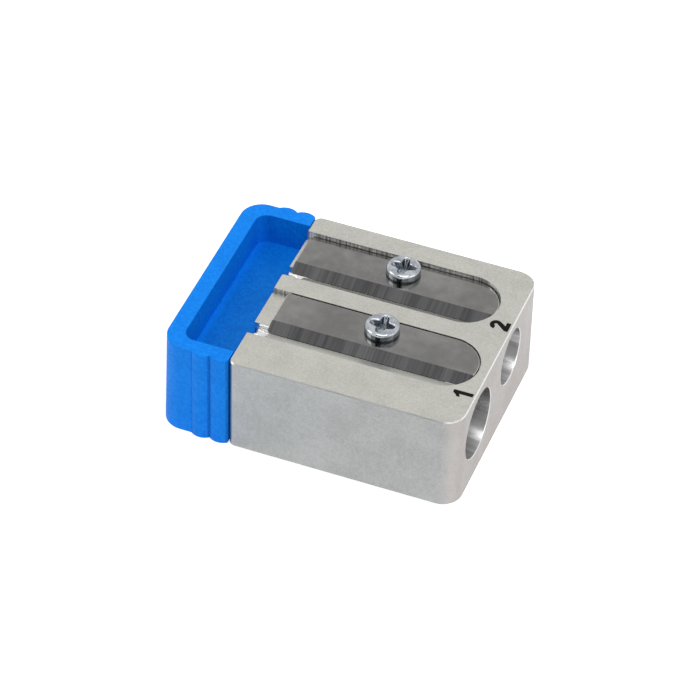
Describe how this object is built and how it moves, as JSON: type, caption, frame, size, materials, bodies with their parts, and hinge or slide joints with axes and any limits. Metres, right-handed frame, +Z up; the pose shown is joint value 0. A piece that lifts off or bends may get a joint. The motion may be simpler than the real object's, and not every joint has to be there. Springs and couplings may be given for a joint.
{
  "type": "pencil sharpener",
  "caption": "Long-point hand pencil sharpener: metal block with a wood hole and a lead hole, screwed-on blades and a pull-off plastic stop cap.",
  "frame": {"origin": "middle of the footprint's box, on the surface that the sharpener stands on", "axes": "+X along the holes towards their mouths, the cap at -X; +Y across the holes from hole 1 to hole 2; +Z up, towards the blades"},
  "size_m": [0.0358, 0.0272, 0.0136],
  "materials": {
    "block_metal": "fine satin, as machined, with bright edges",
    "cap_plastic": "moulded, semi-gloss",
    "blade_steel": "rolled faces with a cross-ground bevel",
    "screw_plating": "bright plated"
  },
  "bodies": {
    "block": {"sharpener_block": "block_metal"},
    "cap": {"stop_cap": "cap_plastic"},
    "blade_1": {"blade_1": "blade_steel"},
    "blade_2": {"blade_2": "blade_steel"},
    "screw_1": {"blade_screw_1": "screw_plating"},
    "screw_2": {"blade_screw_2": "screw_plating"}
  },
  "joints": [
    {"name": "cap_pull", "type": "slide", "parent": "block", "child": "cap", "axis": [-1, 0, 0], "range_m": [0, 0.008]},
    {"name": "blade_1_lift", "type": "slide", "parent": "block", "child": "blade_1", "axis": [0, 0, 1], "range_m": [0, 0.0056]},
    {"name": "blade_2_lift", "type": "slide", "parent": "block", "child": "blade_2", "axis": [0, 0.0297, 0.9996], "range_m": [0, 0.0056]},
    {"name": "screw_1_turn", "type": "hinge", "parent": "blade_1", "child": "screw_1", "pos_m": [0.00455, -0.00203, 0.01245], "axis": [0, 0, 1], "range_deg": [0, 5045]},
    {"name": "screw_2_turn", "type": "hinge", "parent": "blade_2", "child": "screw_2", "pos_m": [0.00315, 0.00854, 0.01202], "axis": [0, 0.0297, 0.9996], "range_deg": [0, 5045]}
  ],
  "couplings": [
    {"joint": "screw_1_turn", "follows": "blade_1_lift", "rad_per_m": 15708},
    {"joint": "screw_2_turn", "follows": "blade_2_lift", "rad_per_m": 15708}
  ]
}
